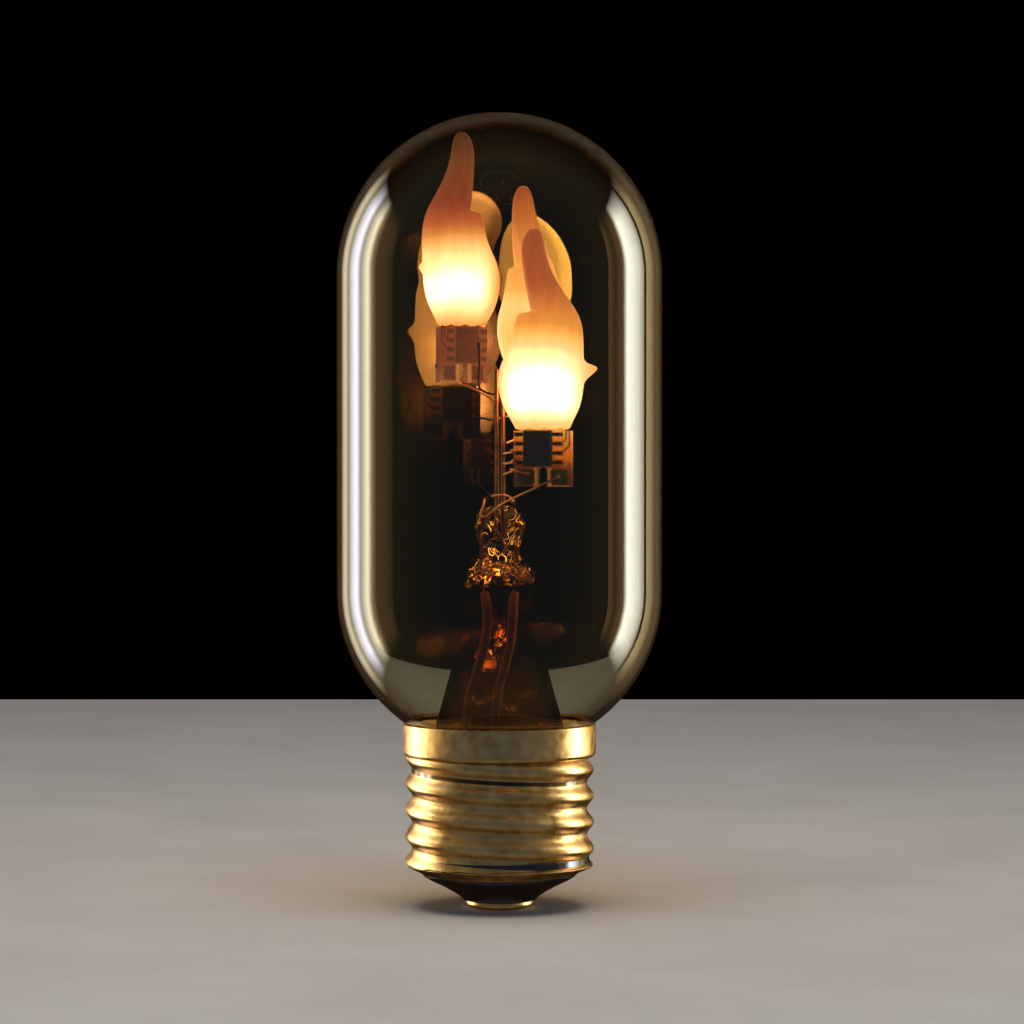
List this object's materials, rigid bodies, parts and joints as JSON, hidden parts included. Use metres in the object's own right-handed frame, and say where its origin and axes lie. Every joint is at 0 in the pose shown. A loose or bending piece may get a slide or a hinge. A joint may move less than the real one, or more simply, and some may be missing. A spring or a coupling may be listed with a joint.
{
  "type": "led flame lamp bulb",
  "caption": "Tubular clear glass screw-cap lamp holding small circuit boards whose LEDs glow under soft flame-shaped sleeves.",
  "frame": {"origin": "on the lamp's axis, at the upper end of the cap's thread, where the collar starts", "axes": "+Z from the cap to the top of the glass, -Y towards the camera of the picture, +X to its right"},
  "size_m": [0.045, 0.045, 0.11],
  "materials": {
    "bulb_glass": "clear soda-lime glass with a pale amber-olive tint, high gloss",
    "stem_glass": "clear glass, flame-worked and slightly wavy, with fine bubbles in the pinch",
    "cap_brass": "thin rolled brass sheet, satin",
    "cement": "matt off-white capping cement",
    "insulator_glass": "opaque black glass, glossy",
    "solder": "dull tin solder",
    "rod_wire": "oxidised nickel-plated iron wire, satin",
    "copper_wire": "bare copper-clad wire, bright, a little tarnished",
    "sleeving": "translucent straw-coloured varnished sleeving",
    "board_laminate": "translucent fibreglass laminate, amber in the glow, with dark traces",
    "chip_epoxy": "matt black moulded epoxy",
    "pin_tin": "tin-plated leads, satin",
    "led_phosphor": "yellow phosphor in a white housing, lit",
    "flame_silicone": "soft translucent silicone, satin, lit from inside: white-yellow low down, orange and dull red towards the tip",
    "capacitor_sleeve": "dark blue heat-shrunk sleeve round an aluminium can",
    "choke_ferrite": "dark grey ferrite, matt",
    "resistor_coat": "grey-green lacquered ceramic body, satin"
  },
  "bodies": {
    "root": {"glass_envelope": "bulb_glass", "glass_stem": "stem_glass", "exhaust_tube": "stem_glass", "screw_shell": "cap_brass", "neck_cement": "cement", "cap_insulator": "insulator_glass", "centre_contact": "cap_brass", "contact_solder": "solder", "rod_left": "rod_wire", "rod_right": "rod_wire", "cross_link": "rod_wire", "lead_wire_left": "copper_wire", "lead_wire_right": "copper_wire", "lead_sleeving_left": "sleeving", "lead_sleeving_right": "sleeving", "front_board": "board_laminate", "front_leds": "led_phosphor", "front_chip": "chip_epoxy", "front_chip_pins": "pin_tin", "front_solder": "solder", "front_flame": "flame_silicone", "front_feed_wire": "copper_wire", "front_links": "copper_wire", "left_board": "board_laminate", "left_leds": "led_phosphor", "left_chip": "chip_epoxy", "left_chip_pins": "pin_tin", "left_solder": "solder", "left_flame": "flame_silicone", "left_feed_wire": "copper_wire", "left_links": "copper_wire", "rear_board": "board_laminate", "rear_leds": "led_phosphor", "rear_chip": "chip_epoxy", "rear_chip_pins": "pin_tin", "rear_solder": "solder", "rear_flame": "flame_silicone", "rear_feed_wire": "copper_wire", "rear_links": "copper_wire", "supply_board": "board_laminate", "bridge_rectifier": "chip_epoxy", "supply_chip": "chip_epoxy", "supply_chip_pins": "pin_tin", "smoothing_capacitor": "capacitor_sleeve", "choke": "choke_ferrite", "fusible_resistor": "resistor_coat", "live_wire": "copper_wire", "neutral_wire": "copper_wire"}
  },
  "joints": []
}
